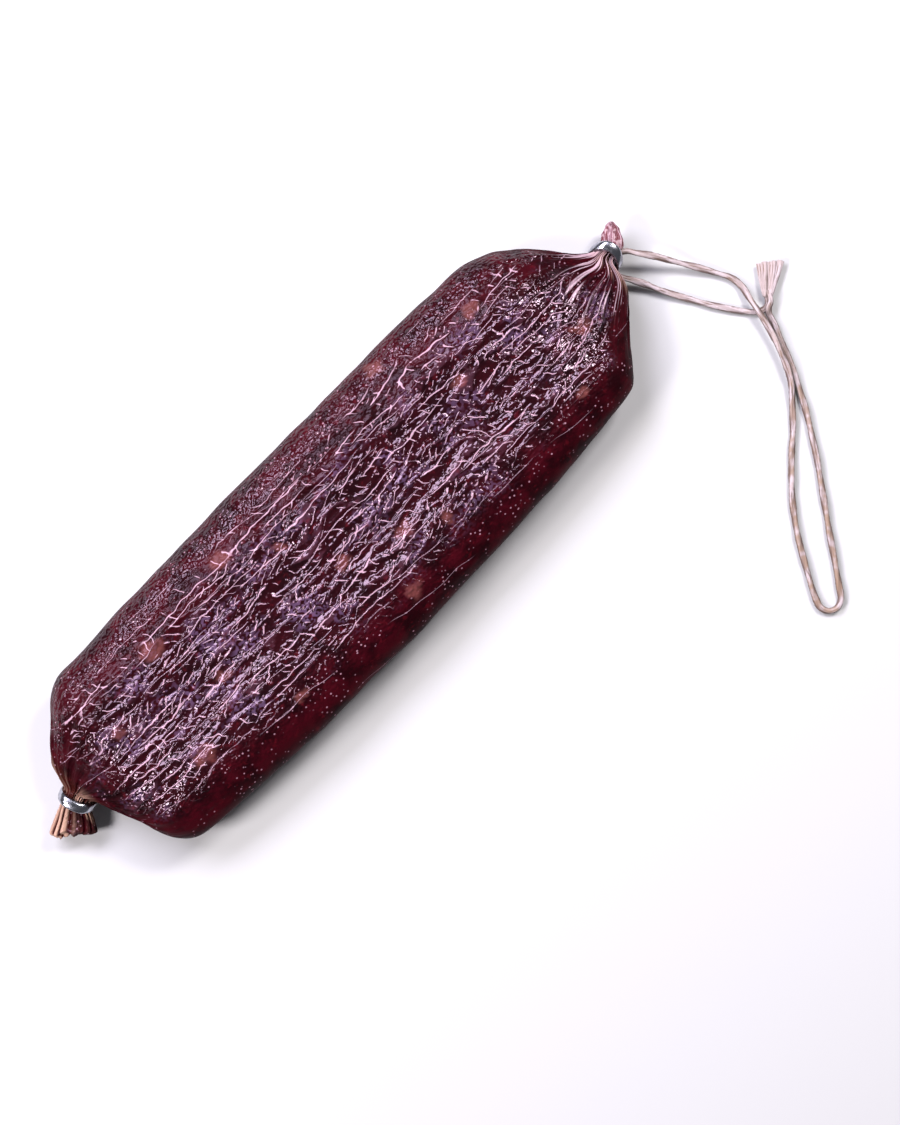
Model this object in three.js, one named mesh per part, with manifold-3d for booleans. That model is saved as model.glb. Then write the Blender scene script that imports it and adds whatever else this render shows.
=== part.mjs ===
// A pressed, dry-cured sausage: meat in a casing that is gathered to a neck at each end and closed
// there with a crimped wire clip. The clip at one end also holds a length of twine, whose loop
// hangs the sausage up. The twine's two ends are knotted round the loop and cut off as a brush.
//
// Millimetres, +Z up. +X runs along the sausage to the twine end. The sausage lies on its pressed
// side at Z = 0, and the origin is under the middle of the sausage and its two clips.
import * as THREE from "three";
import { mergeVertices } from "three/addons/utils/BufferGeometryUtils.js";
import Module from "manifold-3d";

// ---- Driving dimensions: the sausage --------------------------------------------------------
const CLIP_SPACING = 205; // from one clip to the other, along X
const BODY_WIDTH = 62.5; // at the middle, along Y
const BODY_THICKNESS = 25;
const BODY_SIDE = -0.6; // Y of the middle of the body, from which the necks are counted
const END_TAPER = 3.2; // taken off each side by the time the ends begin
const SQUARENESS = 0.82; // exponent of the cross-section: 1 is an ellipse, less is squarer
const PRESSED_DEPTH = 3.5; // how much of the round underside the pressing has made flat
const TROUGH_DEPTH = 2; // how far the middle of the top sank as it dried
const TROUGH_REACH = 0.5; // half-width of the trough, as a share of the body's
const TROUGH_RUN_OUT = [8, 42]; // the trough deepens between these distances from a clip

// Each end: way along X, where its neck is, how it is turned about Z, and how the body swells
// away from it. A swell of [length, rise, roundness] gives 1 - (1 - u) ** rise to 1 / roundness.
const PLAIN_END = {
  way: -1,
  neckWidth: 7.4,
  neckSide: 1.5,
  neckTurn: 21,
  swell: [20.5, 1.6, 1.4],
  tail: { length: 8.4, width: 11.2, thickness: 4.6, turn: 46, droop: 22 },
  tailOutline: [[0.18, 0.78], [0.45, 0.86], [0.75, 0.95], [0.94, 1], [1, 0.9]],
};
const TWINE_END = {
  way: 1,
  neckWidth: 4.3,
  neckSide: 5.2,
  neckTurn: 16,
  swell: [24, 1.25, 1.1],
  tail: { length: 7.6, width: 6.6, thickness: 5.8, turn: 48, droop: 12 },
  tailOutline: [[0.12, 0.82], [0.3, 1], [0.52, 0.86], [0.74, 0.64], [0.92, 0.42], [1, 0.18]],
};
const NECK_HEIGHT = 8;
const NECK_THICKNESS = 5;
const TOP_SWELL_STRETCH = 1.25; // how much longer the body takes to reach its full height

// ---- Driving dimensions: the clips ----------------------------------------------------------
const CLIP_WIRE = 1.5; // wall of the crimped wire, measured outwards from the neck
const CLIP_BREADTH = 2.9; // measured along the neck
const CLIP_EDGE = 0.5; // rounding of the wire's edges
const CLIP_SEAM = 0.5; // between the two ends of the wire, under the neck
const CLEARANCE = 0.3; // between pieces that touch

// ---- Driving dimensions: the twine ----------------------------------------------------------
const TWINE_DIAMETER = 1.9;
const LAID_GAP = 0.1; // between the twine and the surface that it lies on
const KNOT = { length: 7.2, width: 5.2, height: 4.2, turn: -22 };
const BRUSH = { length: 9.4, width: 6.6, neckWidth: 3, thickness: 2.2, turn: 40.5, spreadsFrom: 0.28 };

// Routes of the twine, as [dx, dy, lift]: dx and dy are counted from the middle of the clip, and
// lift is 1 at the height of the neck and 0 where the twine lies on the surface.
const KNOT_MIDDLE = [20.9, -40.6, 0.16];
const OVER_STRAND = [
  [4.6, -2.7, 0.98], [6.8, -5.6, 0.86], [9.3, -9.0, 0.68], [12.6, -14.2, 0.4], [15.6, -19.0, 0.2],
  [18.6, -24.2, 0.06], [20.6, -28.0, 0], [21.0, -31.4, 0.04], [20.0, -35.6, 0.22], [19.2, -39.4, 0.3],
];
const UNDER_STRAND = [
  [-2.0, -3.5, 0.86], [-1.8, -4.9, 0.7], [-0.8, -6.8, 0.52], [0.9, -9.6, 0.36], [2.5, -12.6, 0.24],
  [4.2, -16.2, 0.13], [6.8, -21.2, 0.04], [9.8, -26.6, 0], [12.9, -31.6, 0], [15.9, -36.1, 0],
  [18.4, -39.0, 0], [20.4, -40.6, 0.06],
];
const HANGING_LOOP = [
  [19.2, -40.6, 0.3], [18.0, -44.6, 0.3], [16.2, -50.4, 0.29], [13.4, -57.0, 0.26],
  [11.2, -60.5, 0.18], [8.6, -63.6, 0.06], [3.6, -68.9, 0], [-2.8, -74.8, 0], [-9.6, -81.8, 0],
  [-14.8, -88.4, 0], [-18.8, -94.8, 0], [-22.4, -101.2, 0], [-25.2, -106.8, 0], [-25.8, -109.2, 0],
  [-24.8, -111.3, 0], [-22.7, -112.2, 0], [-20.4, -111.4, 0], [-17.9, -108.2, 0],
  [-14.6, -103.5, 0], [-9.8, -96.5, 0], [-4.2, -88.6, 0], [1.5, -80.6, 0], [6.3, -73.2, 0],
  [10.7, -65.8, 0], [14.6, -58.2, 0], [17.6, -51.2, 0], [19.9, -45.4, 0], [20.9, -41.6, 0.08],
];

// ---- Fineness of the faces ------------------------------------------------------------------
const BODY_STATIONS = 46;
const BODY_SIDES = 44;
const TWINE_SIDES = 8;
const BRUSH_SIDES = 16;
const TWINE_STEP = 3.5; // mm of twine to a step
const FINEST_EDGE = 0.01; // slivers finer than this are closed up after a cut

// ---- Helpers --------------------------------------------------------------------------------
const wasm = await Module();
wasm.setup();

const { degToRad, lerp, smoothstep } = THREE.MathUtils;

function toManifold(geometry) {
  const positions = new THREE.BufferGeometry();
  positions.setAttribute("position", geometry.getAttribute("position"));
  positions.setIndex(geometry.getIndex());
  const merged = mergeVertices(positions, 1e-4);
  return new wasm.Manifold(
    new wasm.Mesh({
      numProp: 3,
      vertProperties: new Float32Array(merged.getAttribute("position").array),
      triVerts: new Uint32Array(merged.getIndex().array),
    }),
  );
}

function toGeometry(manifold) {
  const { vertProperties, triVerts } = manifold.getMesh();
  const geometry = new THREE.BufferGeometry();
  geometry.setAttribute("position", new THREE.BufferAttribute(new Float32Array(vertProperties), 3));
  geometry.setIndex(new THREE.BufferAttribute(new Uint32Array(triVerts), 1));
  return geometry;
}

function cut(geometry, ...tools) {
  const solid = tools.reduce((rest, tool) => rest.subtract(toManifold(tool)), toManifold(geometry));
  return toGeometry(solid.simplify(FINEST_EDGE));
}

// A closed skin round a spine. Each place is { at, forward, section }: section(angle) gives the
// skin's [across, up] from the spine. It is a unit cylinder whose rings are moved to the places.
function skinAlong(places, sides) {
  const geometry = new THREE.CylinderGeometry(1, 1, 1, sides, places.length - 1);
  const position = geometry.getAttribute("position");
  const point = new THREE.Vector3();
  for (let i = 0; i < position.count; i++) {
    point.fromBufferAttribute(position, i);
    const { at, forward, section } = places[Math.round((point.y + 0.5) * (places.length - 1))];
    const isCapMiddle = Math.hypot(point.x, point.z) < 0.5;
    const [across, up] = isCapMiddle ? [0, 0] : section(Math.atan2(point.z, -point.x));
    const side = new THREE.Vector3(0, 0, 1).cross(forward).normalize();
    const top = new THREE.Vector3().crossVectors(forward, side);
    point.copy(at).addScaledVector(side, across).addScaledVector(top, up);
    position.setXYZ(i, point.x, point.y, point.z);
  }
  return geometry;
}

function power(value, exponent) {
  return Math.sign(value) * Math.abs(value) ** exponent;
}

function ellipse(width, thickness) {
  return (angle) => [(width / 2) * Math.cos(angle), (thickness / 2) * Math.sin(angle)];
}

// ---- The sausage ----------------------------------------------------------------------------
function neckMiddle({ way, neckSide }) {
  return new THREE.Vector3((way * CLIP_SPACING) / 2, neckSide, NECK_HEIGHT);
}

// The direction of an end's spine, from the plain end towards the twine end.
function spineDirection({ way }, turn, droop = 0) {
  const level = Math.cos(degToRad(droop));
  const rise = -way * Math.sin(degToRad(droop));
  return new THREE.Vector3(level * Math.cos(degToRad(turn)), level * Math.sin(degToRad(turn)), rise);
}

// 0 at an end's neck, 1 where the body has its full size.
function swollen({ way, swell: [length, rise, roundness] }, x, stretch = 1) {
  const u = Math.min(1, (CLIP_SPACING / 2 - way * x) / (length * stretch));
  return (1 - (1 - u) ** rise) ** (1 / roundness);
}

function bodyPlace(x) {
  const end = x < 0 ? PLAIN_END : TWINE_END;
  const fromClip = CLIP_SPACING / 2 - Math.abs(x);
  const endsBegin = CLIP_SPACING / 2 - end.swell[0];
  const taper = END_TAPER * Math.abs(x / endsBegin) ** 3;
  const wide = swollen(end, x);
  const high = swollen(end, x, TOP_SWELL_STRETCH);
  const halfWidth = lerp(end.neckWidth / 2, BODY_WIDTH / 2 - taper, wide);
  const middleHeight = lerp(NECK_HEIGHT, BODY_THICKNESS / 2, high);
  const above = lerp(NECK_THICKNESS / 2, BODY_THICKNESS / 2, high);
  const below = lerp(NECK_THICKNESS / 2, BODY_THICKNESS / 2 + PRESSED_DEPTH, wide);
  const sunk = TROUGH_DEPTH * smoothstep(fromClip, ...TROUGH_RUN_OUT);
  return {
    at: new THREE.Vector3(x, lerp(end.neckSide, BODY_SIDE, wide), middleHeight),
    forward: new THREE.Vector3(1, 0, 0),
    section(angle) {
      const across = halfWidth * power(Math.cos(angle), SQUARENESS);
      const rise = power(Math.sin(angle), SQUARENESS);
      const trough = sunk * Math.exp(-((across / (TROUGH_REACH * halfWidth)) ** 2));
      return [across, rise > 0 ? above * rise - trough : Math.max(below * rise, -middleHeight)];
    },
  };
}

// The neck inside the clip and the gathered casing beyond it, from the body outwards.
function tailPlaces(end) {
  const { way, neckWidth, neckTurn, tail, tailOutline } = end;
  const neckForward = spineDirection(end, neckTurn);
  const neckSection = ellipse(neckWidth, NECK_THICKNESS);
  const halfNeck = CLIP_BREADTH / 2 + CLEARANCE;
  const alongNeck = (out) => neckMiddle(end).addScaledVector(neckForward, way * out);
  const places = [-halfNeck, halfNeck].map((out) => ({
    at: alongNeck(out),
    forward: neckForward,
    section: neckSection,
  }));
  let done = 0;
  const at = alongNeck(halfNeck);
  for (const [share, size] of tailOutline) {
    const halfway = (done + share) / 2;
    const turn = (part) => lerp(neckTurn, tail.turn, part);
    const step = (share - done) * tail.length * way;
    at.addScaledVector(spineDirection(end, turn(halfway), tail.droop * halfway), step);
    places.push({
      at: at.clone(),
      forward: spineDirection(end, turn(share), tail.droop * share),
      section: ellipse(tail.width * size, tail.thickness * size),
    });
    done = share;
  }
  return places;
}

// Stations lie close together at the ends, where the body's outline bends.
function bodyPlaces() {
  const reach = CLIP_SPACING / 2 - CLIP_BREADTH;
  return Array.from({ length: BODY_STATIONS }, (_, i) => {
    const u = (2 * i) / (BODY_STATIONS - 1) - 1;
    return bodyPlace(reach * Math.sin((Math.PI / 2) * u));
  });
}

function sausage(...pressedIn) {
  const places = [...tailPlaces(PLAIN_END).reverse(), ...bodyPlaces(), ...tailPlaces(TWINE_END)];
  return cut(skinAlong(places, BODY_SIDES), ...pressedIn);
}

// ---- The clips ------------------------------------------------------------------------------
// The twine shares its clip with the neck, so that clip is wider by the twine and its clearance.
const TWINE_SHARE = TWINE_DIAMETER + CLEARANCE;

function ovalOutline(Outline, width, height) {
  const radius = Math.min(width, height) / 2;
  const straight = (width - height) / 2;
  const outline = new Outline();
  outline.absarc(straight, 0, radius, -Math.PI / 2, Math.PI / 2);
  outline.absarc(-straight, 0, radius, Math.PI / 2, (3 * Math.PI) / 2);
  outline.closePath();
  return outline;
}

// With a margin it is the room that the clip presses into the casing. Inwards the margin is
// halved, so that the room never reaches the neck.
function band(openingWidth, margin = 0) {
  const width = openingWidth - margin;
  const height = NECK_THICKNESS + 2 * CLEARANCE - margin;
  const wall = CLIP_WIRE + 1.5 * margin;
  const ring = ovalOutline(THREE.Shape, width + 2 * wall, height + 2 * wall);
  ring.holes.push(ovalOutline(THREE.Path, width, height));
  const depth = CLIP_BREADTH + 2 * margin - 2 * CLIP_EDGE;
  const geometry = new THREE.ExtrudeGeometry(ring, {
    depth,
    bevelThickness: CLIP_EDGE,
    bevelSize: CLIP_EDGE,
    bevelOffset: -CLIP_EDGE,
    bevelSegments: 2,
    curveSegments: 7,
  });
  return geometry.translate(0, 0, -depth / 2);
}

function clip(openingWidth) {
  const seam = new THREE.BoxGeometry(CLIP_SEAM, 2 * CLIP_WIRE, 2 * CLIP_BREADTH);
  seam.translate(0, -(NECK_THICKNESS + CLIP_WIRE) / 2 - CLEARANCE, 0);
  return cut(band(openingWidth), seam);
}

// A clip's own axes are across the neck, up, and along the neck.
function placeOnNeck(mesh, end, aside) {
  const along = spineDirection(end, end.neckTurn);
  const up = new THREE.Vector3(0, 0, 1);
  const across = new THREE.Vector3().crossVectors(up, along);
  mesh.quaternion.setFromRotationMatrix(new THREE.Matrix4().makeBasis(across, up, along));
  mesh.position.copy(neckMiddle(end)).addScaledVector(across, -aside);
  mesh.updateMatrixWorld();
  return mesh;
}

// ---- The twine ------------------------------------------------------------------------------
const laidHeight = TWINE_DIAMETER / 2 + LAID_GAP;

function routePoints(route, from) {
  return route.map(([dx, dy, lift]) => {
    return new THREE.Vector3(from.x + dx, from.y + dy, lerp(laidHeight, NECK_HEIGHT, lift));
  });
}

function strand(points, diameter = TWINE_DIAMETER) {
  const path = new THREE.CatmullRomCurve3(points);
  const section = new THREE.Shape().absarc(0, 0, diameter / 2, 0, 2 * Math.PI);
  return new THREE.ExtrudeGeometry(section, {
    steps: Math.ceil(path.getLength() / TWINE_STEP),
    extrudePath: path,
    curveSegments: TWINE_SIDES / 2,
  });
}

// What a strand presses into the casing: its own shape with a clearance, past its first end too.
function strandRoom(points) {
  const before = points[0].clone().lerp(points[1], -CLEARANCE / points[0].distanceTo(points[1]));
  return strand([before, ...points], TWINE_DIAMETER + 2 * CLEARANCE);
}

function knot(middle, margin = 0) {
  const lump = new THREE.SphereGeometry(1, 20, 12).rotateX(Math.PI / 2);
  lump.scale(KNOT.length / 2 + margin, KNOT.width / 2 + margin, KNOT.height / 2 + margin);
  lump.rotateZ(degToRad(KNOT.turn));
  return lump.translate(middle.x, middle.y, KNOT.height / 2 + LAID_GAP);
}

// The cut ends spread into a flat brush. It starts inside the knot, which is then cut away.
function brush(middle) {
  const forward = new THREE.Vector3(Math.cos(degToRad(BRUSH.turn)), Math.sin(degToRad(BRUSH.turn)), 0);
  const start = new THREE.Vector3(middle.x, middle.y, BRUSH.thickness / 2 + LAID_GAP);
  const length = KNOT.length / 2 + BRUSH.length;
  const places = [0, BRUSH.spreadsFrom, 1].map((share) => {
    const spread = Math.max(0, share - BRUSH.spreadsFrom) / (1 - BRUSH.spreadsFrom);
    return {
      at: start.clone().addScaledVector(forward, share * length),
      forward,
      section: ellipse(lerp(BRUSH.neckWidth, BRUSH.width, spread), BRUSH.thickness),
    };
  });
  return skinAlong(places, BRUSH_SIDES);
}

// ---- Assembly -------------------------------------------------------------------------------
const CASING = { color: 0x5b2233, roughness: 0.3, metalness: 0 };
const ALUMINIUM = { color: 0xb4b7bd, roughness: 0.3, metalness: 1 };
const FIBRE = { color: 0xbf9d8c, roughness: 0.9, metalness: 0 };

function part(name, geometry, finish) {
  const mesh = new THREE.Mesh(geometry, new THREE.MeshStandardMaterial(finish));
  mesh.name = name;
  return mesh;
}

const plainOpening = PLAIN_END.neckWidth + 2 * CLEARANCE;
const twineOpening = TWINE_END.neckWidth + 2 * CLEARANCE + TWINE_SHARE;
const plainClip = placeOnNeck(part("plain_clip", clip(plainOpening), ALUMINIUM), PLAIN_END, 0);
const twineClip = placeOnNeck(
  part("twine_clip", clip(twineOpening), ALUMINIUM),
  TWINE_END,
  TWINE_SHARE / 2,
);

const clipMiddle = twineClip.position;
const seat = -(TWINE_END.neckWidth + CLEARANCE) / 2; // of the twine, across its clip
const inClip = [-0.45, 0, 0.6].map((share) => {
  return twineClip.localToWorld(new THREE.Vector3(seat, 0, share * CLIP_BREADTH));
});
const [knotMiddle] = routePoints([KNOT_MIDDLE], clipMiddle);
const overPoints = [...inClip, ...routePoints(OVER_STRAND, clipMiddle)];
const underPoints = routePoints(UNDER_STRAND, clipMiddle);
const loopPoints = routePoints(HANGING_LOOP, clipMiddle);
const knotRoom = knot(knotMiddle, CLEARANCE);

// The casing bulges round its clips and round the twine, and never runs through them.
const pressedIn = [
  band(plainOpening, CLEARANCE).applyMatrix4(plainClip.matrixWorld),
  band(twineOpening, CLEARANCE).applyMatrix4(twineClip.matrixWorld),
  strandRoom(overPoints),
  strandRoom(underPoints),
];

const lying = [part("sausage", sausage(...pressedIn), CASING), plainClip, twineClip];
const twine = [
  part("twine_over_strand", cut(strand(overPoints), knotRoom), FIBRE),
  part("twine_under_strand", cut(strand(underPoints), knotRoom), FIBRE),
  part("twine_hanging_loop", cut(strand(loopPoints), knotRoom), FIBRE),
  part("twine_knot", knot(knotMiddle), FIBRE),
  part("twine_brush", cut(brush(knotMiddle), knotRoom), FIBRE),
];

const hangingSausage = new THREE.Group();
hangingSausage.add(...lying, ...twine);

// The origin goes under the middle of what doesn't hang free.
const box = new THREE.Box3();
for (const mesh of lying) box.expandByObject(mesh, true);
const middle = box.getCenter(new THREE.Vector3());
hangingSausage.position.set(-middle.x, -middle.y, -box.min.z);
hangingSausage.updateMatrixWorld(true);

export default hangingSausage;
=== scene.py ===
# A pressed, dry-cured sausage lying on a pale table: a wrinkled casing gathered to a neck at each
# end, a crimped wire clip on each neck, and a loop of twine clamped under one of the clips.
import math

import bpy
import numpy as np
from mathutils import Euler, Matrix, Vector, noise


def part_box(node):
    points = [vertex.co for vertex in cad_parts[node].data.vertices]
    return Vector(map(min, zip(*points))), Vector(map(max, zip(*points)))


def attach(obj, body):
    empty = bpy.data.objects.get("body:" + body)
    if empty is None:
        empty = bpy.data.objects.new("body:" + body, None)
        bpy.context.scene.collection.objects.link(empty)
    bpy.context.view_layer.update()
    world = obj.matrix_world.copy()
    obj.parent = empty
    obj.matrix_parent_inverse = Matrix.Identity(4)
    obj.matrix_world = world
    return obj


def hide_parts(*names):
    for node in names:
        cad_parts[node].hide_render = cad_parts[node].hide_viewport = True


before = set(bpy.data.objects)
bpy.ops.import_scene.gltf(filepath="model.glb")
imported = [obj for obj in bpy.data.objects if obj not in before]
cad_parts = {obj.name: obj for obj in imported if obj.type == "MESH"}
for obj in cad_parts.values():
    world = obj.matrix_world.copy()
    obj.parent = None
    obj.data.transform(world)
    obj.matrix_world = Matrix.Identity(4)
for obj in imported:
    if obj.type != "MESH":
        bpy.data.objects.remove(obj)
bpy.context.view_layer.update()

# ---- Table, light and camera ----------------------------------------------------------------
# A plain pale table top. One large soft window stands beyond the sausage's +Y side and a small one
# past each end. The camera looks straight down, with the sausage lying cornerwise in its view.
MM = 0.001
VIEW_AIM = (15.9 * MM, -24.0 * MM, 10 * MM)
VIEW_LONG_SIDE = 304 * MM
LENS = 100
SENSOR = 36
TABLE_SIDE = 4


def nothing_selected():
    if bpy.context.mode != "OBJECT":
        bpy.ops.object.mode_set(mode="OBJECT")
    bpy.ops.object.select_all(action="DESELECT")


def soft_light(name, place, size, watts, colour):
    """A rectangular light, in metres, that faces the middle of the sausage."""
    lamp = bpy.data.lights.new(name, "AREA")
    lamp.shape = "RECTANGLE"
    lamp.size, lamp.size_y = size
    lamp.energy = watts
    lamp.color = colour
    light = bpy.data.objects.new(name, lamp)
    light.location = place
    light.rotation_euler = Vector(place).to_track_quat("Z", "Y").to_euler()
    bpy.context.scene.collection.objects.link(light)


def plain_finish(name, colour, roughness):
    material = bpy.data.materials.new(name)
    material.use_nodes = True
    shader = material.node_tree.nodes["Principled BSDF"]
    shader.inputs["Base Color"].default_value = (*colour, 1)
    shader.inputs["Roughness"].default_value = roughness
    return material


nothing_selected()
bpy.ops.mesh.primitive_plane_add(size=TABLE_SIDE)
table_top = bpy.context.object
table_top.name = "table_top"
table_top.data.materials.append(plain_finish("pale_table", (0.58, 0.58, 0.58), 0.8))

soft_light("window", (0.0, 0.52, 0.62), (0.6, 0.3), 8.5, (0.88, 0.85, 1))
soft_light("plain_end_window", (-0.52, 0.2, 0.6), (0.2, 0.2), 5.2, (1, 0.95, 0.98))
soft_light("twine_end_window", (0.52, 0.05, 0.62), (0.2, 0.2), 5.2, (1, 0.96, 0.98))

world = bpy.data.worlds.new("studio")
world.use_nodes = True
world.node_tree.nodes["Background"].inputs["Color"].default_value = (0.86, 0.86, 0.95, 1)
world.node_tree.nodes["Background"].inputs["Strength"].default_value = 0.12
bpy.context.scene.world = world
bpy.context.scene.view_settings.view_transform = "Standard"

camera_data = bpy.data.cameras.new("camera")
camera_data.lens = LENS
camera_data.sensor_width = SENSOR
camera = bpy.data.objects.new("camera", camera_data)
camera.location = Vector(VIEW_AIM) + Vector((0, 0, VIEW_LONG_SIDE * LENS / SENSOR))
camera.rotation_euler = (0, 0, math.radians(-45))
bpy.context.scene.collection.objects.link(camera)
bpy.context.scene.camera = camera

# ---- The twine ------------------------------------------------------------------------------
# One length of natural two-ply twine, clamped under the clip along the neck. Its two strands come
# down to the table and cross. One goes on as the hanging loop, and both ends curl into the brush.
TWINE_DIAMETER = 1.9 * MM
TWINE_CLEARANCE = 0.1 * MM
TWINE_LAID = TWINE_DIAMETER / 2 + TWINE_CLEARANCE
PLY_PITCH = 26 * MM
PLUMP_LENGTH = 5 * MM
TWINE_STEP = 0.4 * MM
TWINE_SIDES = 20
CURVE_STEPS = 24
FIBRE_BROWN = (0.12, 0.07, 0.05)
FIBRE_PALE = (0.56, 0.47, 0.49)
HANDLED_TAN = (0.30, 0.19, 0.125)
PLY_GAP_SHADE_BROWN = (0.14, 0.08, 0.06)
UNDERSIDE_SHADE_BROWN = (0.09, 0.045, 0.03)

# Each point is (dx, dy, lift) from the middle of the clip: lift is 1 at the height of the neck and
# 0 where the twine lies on the table.
OVER_STRAND = [
    (-0.0006, -0.0026, 1), (0.0006, -0.0022, 1), (0.0023, -0.0017, 1), (0.0046, -0.0027, 0.98),
    (0.0068, -0.0056, 0.86), (0.0093, -0.0090, 0.68), (0.0126, -0.0142, 0.4),
    (0.0156, -0.0190, 0.2), (0.0186, -0.0242, 0.06), (0.0206, -0.0280, 0), (0.0210, -0.0314, 0.04),
    (0.0200, -0.0356, 0.22), (0.0192, -0.0394, 0.3),
]
HANGING_LOOP = [
    (0.0188, -0.0415, 0.3), (0.0180, -0.0446, 0.3), (0.0162, -0.0504, 0.29),
    (0.0134, -0.0570, 0.26), (0.0112, -0.0605, 0.18), (0.0086, -0.0636, 0.06),
    (0.0036, -0.0689, 0), (-0.0028, -0.0748, 0), (-0.0096, -0.0818, 0), (-0.0148, -0.0884, 0),
    (-0.0188, -0.0948, 0), (-0.0224, -0.1012, 0), (-0.0252, -0.1068, 0), (-0.0258, -0.1092, 0),
    (-0.0248, -0.1113, 0), (-0.0227, -0.1122, 0), (-0.0204, -0.1114, 0), (-0.0179, -0.1082, 0),
    (-0.0146, -0.1035, 0), (-0.0098, -0.0965, 0), (-0.0042, -0.0886, 0), (0.0015, -0.0806, 0),
    (0.0063, -0.0732, 0), (0.0107, -0.0658, 0), (0.0146, -0.0582, 0), (0.0176, -0.0512, 0),
    (0.0199, -0.0454, 0), (0.0209, -0.0424, 0.04),
]
LOOP_CURL = [(0.0220, -0.0410, 0.22), (0.0234, -0.0403, 0.26), (0.0246, -0.0386, 0.2)]
UNDER_STRAND = [
    (-0.0012, -0.0020, 0.96), (-0.0020, -0.0035, 0.86), (-0.0018, -0.0049, 0.7),
    (-0.0008, -0.0068, 0.52), (0.0009, -0.0096, 0.36), (0.0025, -0.0126, 0.24),
    (0.0042, -0.0162, 0.13), (0.0068, -0.0212, 0.04), (0.0098, -0.0266, 0),
    (0.0129, -0.0316, 0), (0.0159, -0.0361, 0), (0.0184, -0.0390, 0), (0.0207, -0.0405, 0),
]
UNDER_CURL = [(0.0226, -0.0404, 0.04), (0.0238, -0.0390, 0.08), (0.0249, -0.0373, 0.1)]

clip_low, clip_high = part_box("twine_clip")
twine_clip_middle = (clip_low + clip_high) / 2


class Shade:
    """A number that a node works out, with the arithmetic that the finishes use."""

    def __init__(self, finish, socket):
        self.finish = finish
        self.socket = socket

    def worked(self, operation, *values):
        return self.finish.node("ShaderNodeMath", {"operation": operation}, dict(enumerate(values)))

    def __add__(self, other):
        return self.worked("ADD", self, other)

    def __sub__(self, other):
        return self.worked("SUBTRACT", self, other)

    def __rsub__(self, other):
        return self.worked("SUBTRACT", other, self)

    def __mul__(self, other):
        return self.worked("MULTIPLY", self, other)

    def __abs__(self):
        return self.worked("ABSOLUTE", self)

    __radd__ = __add__
    __rmul__ = __mul__

    def sine(self):
        return self.worked("SINE", self)

    def at_most(self, limit):
        return self.worked("MINIMUM", self, limit)

    def between(self, low, high):
        """0 below low and 1 above high, or the other way round, with a soft step between."""
        settings = {"interpolation_type": "SMOOTHSTEP"}
        return self.finish.node("ShaderNodeMapRange", settings, {0: self, 1: low, 2: high})


class Finish:
    """A node material. Patterns and numbers come from node(), and set() plugs the shader."""

    def __init__(self, name):
        self.material = bpy.data.materials.new(name)
        self.material.use_nodes = True
        self.tree = self.material.node_tree
        self.shader = self.tree.nodes["Principled BSDF"]

    def plug(self, socket, value):
        if isinstance(value, Shade):
            self.tree.links.new(value.socket, socket)
        else:
            socket.default_value = value

    def node(self, kind, settings=None, sockets=None, output=0):
        made = self.tree.nodes.new(kind)
        for setting, value in (settings or {}).items():
            setattr(made, setting, value)
        for socket, value in (sockets or {}).items():
            self.plug(made.inputs[socket], value)
        return Shade(self, made.outputs[output])

    def place(self):
        return self.node("ShaderNodeTexCoord", output="Object")

    def stretched(self, where, scale):
        return self.node("ShaderNodeVectorMath", {"operation": "MULTIPLY"}, {0: where, 1: scale})

    def coordinates(self, lump):
        """Object coordinates, counted in lumps of the given size in millimetres for each axis."""
        return self.stretched(self.place(), [1 / (MM * side) for side in lump])

    def noise(self, where, detail=3, roughness=0.5):
        sockets = {"Vector": where, "Scale": 1, "Detail": detail, "Roughness": roughness}
        return self.node("ShaderNodeTexNoise", {}, sockets, "Fac")

    def mask(self, name):
        return self.node("ShaderNodeAttribute", {"attribute_name": name}, {}, "Fac")

    def mix(self, share, first, second):
        """A colour: first where share is 0, second where it is 1."""
        colours = {}
        for socket, colour in ((6, first), (7, second)):
            colours[socket] = colour if isinstance(colour, Shade) else (*colour, 1)
        settings = {"data_type": "RGBA", "clamp_factor": True}
        return self.node("ShaderNodeMix", settings, {0: share, **colours}, 2)

    def bump(self, height, strength):
        """A normal that stands for relief of this height, in millimetres."""
        sockets = {"Height": height, "Distance": MM, "Strength": strength}
        return self.node("ShaderNodeBump", {}, sockets)

    def set(self, **sockets):
        for name, value in sockets.items():
            self.plug(self.shader.inputs[name.replace("_", " ")], value)
        return self.material


def smooth_route(points, step):
    """Points a step apart on a smooth curve through the given ones."""
    points = [Vector(p) for p in points]
    points = [2 * points[0] - points[1], *points, 2 * points[-1] - points[-2]]
    curve = []
    for before, start, end, after in zip(points, points[1:], points[2:], points[3:]):
        t1 = (start - before).length ** 0.5
        t2 = t1 + (end - start).length ** 0.5
        t3 = t2 + (after - end).length ** 0.5
        for t in np.linspace(t1, t2, CURVE_STEPS, endpoint=False):
            a1 = before.lerp(start, t / t1)
            a2 = start.lerp(end, (t - t1) / (t2 - t1))
            a3 = end.lerp(after, (t - t2) / (t3 - t2))
            b1 = a1.lerp(a2, t / t2)
            b2 = a2.lerp(a3, (t - t1) / (t3 - t1))
            curve.append(b1.lerp(b2, (t - t1) / (t2 - t1)))
    curve = np.array([*curve, points[-2]])
    run = np.concatenate([[0], np.cumsum(np.linalg.norm(np.diff(curve, axis=0), axis=1))])
    even = np.linspace(0, run[-1], round(run[-1] / step) + 1)
    return np.column_stack([np.interp(even, run, curve[:, k]) for k in range(3)])


def route_points(route):
    points = []
    for dx, dy, lift in route:
        height = TWINE_LAID + lift * (twine_clip_middle.z - TWINE_LAID)
        points.append((twine_clip_middle.x + dx, twine_clip_middle.y + dy, height))
    return points


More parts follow.
